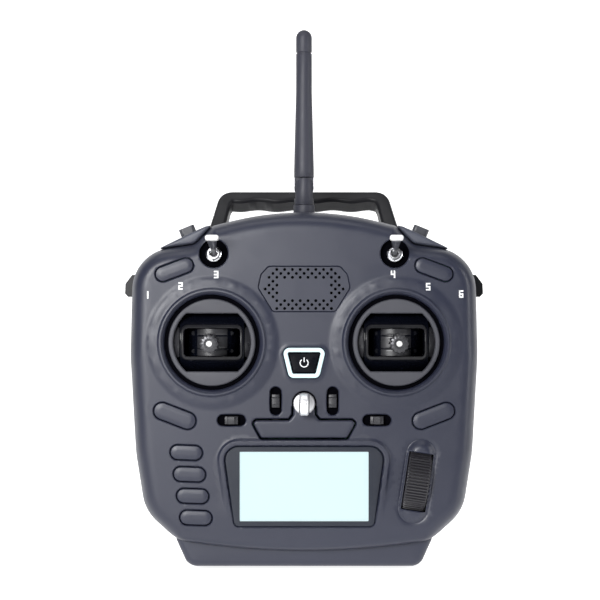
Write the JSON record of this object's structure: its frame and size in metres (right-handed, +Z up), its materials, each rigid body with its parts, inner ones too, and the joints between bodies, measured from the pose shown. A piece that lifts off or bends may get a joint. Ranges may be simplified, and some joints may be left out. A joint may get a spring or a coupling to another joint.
{
  "type": "radio transmitter controller",
  "caption": "Handheld radio control transmitter with sprung gimbal sticks, toggles, trims, side levers, scroll wheel, screen, folding antenna and rear carry handle.",
  "frame": {"origin": "centre of the flat base face that the handset stands on", "axes": "+X to the right of a person who faces the front, +Y to the rear, +Z up towards the antenna"},
  "size_m": [0.1608, 0.1013, 0.2416],
  "materials": {
    "shell": "satin moulded plastic, fine grain",
    "black_plastic": "fine matt moulded plastic",
    "grey_plastic": "satin moulded plastic",
    "rubber": "moulded grip texture",
    "gloss_black": "polished",
    "lens": "polished dark window",
    "display": "lit display behind the window",
    "chrome": "bright plating",
    "steel": "turned and plated steel",
    "aluminium": "knurled and anodised",
    "light": "translucent light guide, lit",
    "board": "solder mask",
    "brass": "plated contacts",
    "battery": "shrink wrap"
  },
  "bodies": {
    "case": {"front_shell": "shell", "rear_shell": "shell", "case_screws": "steel", "handle": "black_plastic", "handle_screws": "steel", "rubber_grips": "rubber", "shoulder_panels": "shell", "speaker_grille": "black_plastic", "speaker": "black_plastic", "screen_lens": "lens", "lcd_module": "display", "label_plate": "shell", "strap_hook": "chrome", "power_light_ring": "light", "circuit_boards": "board", "board_screws": "steel", "toggle_bodies": "steel", "toggle_nuts": "steel", "gimbal_frames": "black_plastic", "gimbal_bezels": "grey_plastic", "gimbal_screws": "steel", "tact_switches": "black_plastic", "trim_switch_bodies": "black_plastic", "antenna_base": "black_plastic", "usb_port": "steel", "trainer_jack": "black_plastic", "module_connector": "brass", "battery_cells": "battery", "slider_pots": "black_plastic"},
    "button_a": {"button_a": "shell"},
    "button_d": {"button_d": "shell"},
    "button_page_left": {"button_page_left": "shell"},
    "button_page_right": {"button_page_right": "shell"},
    "menu_button_1": {"menu_button_1": "shell"},
    "menu_button_2": {"menu_button_2": "shell"},
    "menu_button_3": {"menu_button_3": "shell"},
    "menu_button_4": {"menu_button_4": "shell"},
    "power_button": {"power_button": "gloss_black"},
    "trim_left_vertical": {"trim_left_vertical": "black_plastic"},
    "trim_left_horizontal": {"trim_left_horizontal": "black_plastic"},
    "trim_right_vertical": {"trim_right_vertical": "black_plastic"},
    "trim_right_horizontal": {"trim_right_horizontal": "black_plastic"},
    "slider_lever_left": {"slider_lever_left": "black_plastic"},
    "yoke_left": {"yoke_left": "gloss_black"},
    "stick_left": {"stick_left": "black_plastic", "stick_end_left": "aluminium"},
    "slider_lever_right": {"slider_lever_right": "black_plastic"},
    "yoke_right": {"yoke_right": "gloss_black"},
    "stick_right": {"stick_right": "black_plastic", "stick_end_right": "aluminium"},
    "toggle_lever_b": {"toggle_lever_b": "steel"},
    "toggle_lever_c": {"toggle_lever_c": "steel"},
    "toggle_lever_e": {"toggle_lever_e": "black_plastic"},
    "toggle_lever_f": {"toggle_lever_f": "black_plastic"},
    "wheel_bracket": {"wheel_bracket": "black_plastic"},
    "scroll_wheel": {"scroll_wheel": "black_plastic"},
    "antenna_knuckle": {"antenna_knuckle": "black_plastic"},
    "antenna_whip": {"antenna_whip": "rubber"},
    "battery_door": {"battery_door": "black_plastic"},
    "module_cover": {"module_cover": "black_plastic"}
  },
  "joints": [
    {"name": "button_a_press", "type": "slide", "parent": "case", "child": "button_a", "axis": [0, 1, 0], "range_m": [0, 0.001], "stiffness_N_per_m": 300},
    {"name": "button_d_press", "type": "slide", "parent": "case", "child": "button_d", "axis": [0, 1, 0], "range_m": [0, 0.001], "stiffness_N_per_m": 300},
    {"name": "button_page_left_press", "type": "slide", "parent": "case", "child": "button_page_left", "axis": [0, 1, 0], "range_m": [0, 0.001], "stiffness_N_per_m": 300},
    {"name": "button_page_right_press", "type": "slide", "parent": "case", "child": "button_page_right", "axis": [0, 1, 0], "range_m": [0, 0.001], "stiffness_N_per_m": 300},
    {"name": "menu_button_1_press", "type": "slide", "parent": "case", "child": "menu_button_1", "axis": [0, 1, 0], "range_m": [0, 0.001], "stiffness_N_per_m": 300},
    {"name": "menu_button_2_press", "type": "slide", "parent": "case", "child": "menu_button_2", "axis": [0, 1, 0], "range_m": [0, 0.001], "stiffness_N_per_m": 300},
    {"name": "menu_button_3_press", "type": "slide", "parent": "case", "child": "menu_button_3", "axis": [0, 1, 0], "range_m": [0, 0.001], "stiffness_N_per_m": 300},
    {"name": "menu_button_4_press", "type": "slide", "parent": "case", "child": "menu_button_4", "axis": [0, 1, 0], "range_m": [0, 0.001], "stiffness_N_per_m": 300},
    {"name": "power_button_press", "type": "slide", "parent": "case", "child": "power_button", "axis": [0, 1, 0], "range_m": [0, 0.001], "stiffness_N_per_m": 300},
    {"name": "trim_left_vertical_slide", "type": "slide", "parent": "case", "child": "trim_left_vertical", "axis": [0, 0, 1], "range_m": [-0.0012, 0.0012], "stiffness_N_per_m": 300},
    {"name": "trim_left_horizontal_slide", "type": "slide", "parent": "case", "child": "trim_left_horizontal", "axis": [1, 0, 0], "range_m": [-0.0012, 0.0012], "stiffness_N_per_m": 300},
    {"name": "trim_right_vertical_slide", "type": "slide", "parent": "case", "child": "trim_right_vertical", "axis": [0, 0, 1], "range_m": [-0.0012, 0.0012], "stiffness_N_per_m": 300},
    {"name": "trim_right_horizontal_slide", "type": "slide", "parent": "case", "child": "trim_right_horizontal", "axis": [1, 0, 0], "range_m": [-0.0012, 0.0012], "stiffness_N_per_m": 300},
    {"name": "slider_left_swing", "type": "hinge", "parent": "case", "child": "slider_lever_left", "pos_m": [-0.058, 0.002, 0.1255], "axis": [0, 1, 0], "range_deg": [-25, 25]},
    {"name": "gimbal_left_tilt", "type": "hinge", "parent": "case", "child": "yoke_left", "pos_m": [-0.0402, -0.0095, 0.1007], "axis": [1, 0, 0], "range_deg": [-26, 26]},
    {"name": "gimbal_left_sweep", "type": "hinge", "parent": "yoke_left", "child": "stick_left", "pos_m": [-0.0402, -0.0095, 0.1007], "axis": [0, 0, 1], "range_deg": [-26, 26], "stiffness_Nm_per_rad": 0.06},
    {"name": "slider_right_swing", "type": "hinge", "parent": "case", "child": "slider_lever_right", "pos_m": [0.058, 0.002, 0.1255], "axis": [0, 1, 0], "range_deg": [-25, 25]},
    {"name": "gimbal_right_tilt", "type": "hinge", "parent": "case", "child": "yoke_right", "pos_m": [0.0402, -0.0095, 0.1007], "axis": [1, 0, 0], "range_deg": [-26, 26], "stiffness_Nm_per_rad": 0.06},
    {"name": "gimbal_right_sweep", "type": "hinge", "parent": "yoke_right", "child": "stick_right", "pos_m": [0.0402, -0.0095, 0.1007], "axis": [0, 0, 1], "range_deg": [-26, 26], "stiffness_Nm_per_rad": 0.06},
    {"name": "toggle_b_throw", "type": "hinge", "parent": "case", "child": "toggle_lever_b", "pos_m": [-0.0395, -0.024, 0.1395], "axis": [1, 0, 0], "range_deg": [0, 26]},
    {"name": "toggle_c_throw", "type": "hinge", "parent": "case", "child": "toggle_lever_c", "pos_m": [0.0395, -0.024, 0.1395], "axis": [1, 0, 0], "range_deg": [0, 26]},
    {"name": "toggle_e_throw", "type": "hinge", "parent": "case", "child": "toggle_lever_e", "pos_m": [-0.05033, 0.003, 0.14507], "axis": [0.9272, 0, 0.3746], "range_deg": [-13, 13]},
    {"name": "toggle_f_throw", "type": "hinge", "parent": "case", "child": "toggle_lever_f", "pos_m": [0.05033, 0.003, 0.14507], "axis": [0.9272, 0, -0.3746], "range_deg": [-13, 13]},
    {"name": "wheel_press", "type": "slide", "parent": "case", "child": "wheel_bracket", "axis": [0, 1, 0], "range_m": [0, 0.0008], "stiffness_N_per_m": 400},
    {"name": "wheel_spin", "type": "hinge", "parent": "wheel_bracket", "child": "scroll_wheel", "pos_m": [0.0493, -0.0142, 0.0401], "axis": [0.9888, 0, -0.1495], "continuous": true},
    {"name": "antenna_swivel", "type": "hinge", "parent": "case", "child": "antenna_knuckle", "pos_m": [0, 0.008, 0.1623], "axis": [0, 0, 1], "range_deg": [-180, 0]},
    {"name": "antenna_fold", "type": "hinge", "parent": "antenna_knuckle", "child": "antenna_whip", "pos_m": [0, 0.008, 0.1699], "axis": [0, 1, 0], "range_deg": [0, 90]},
    {"name": "battery_door_open", "type": "hinge", "parent": "case", "child": "battery_door", "pos_m": [0, 0.0264, 0.01], "axis": [-1, 0, 0], "range_deg": [0, 95]},
    {"name": "module_cover_off", "type": "slide", "parent": "case", "child": "module_cover", "axis": [0, 1, 0], "range_m": [0, 0.02]}
  ]
}
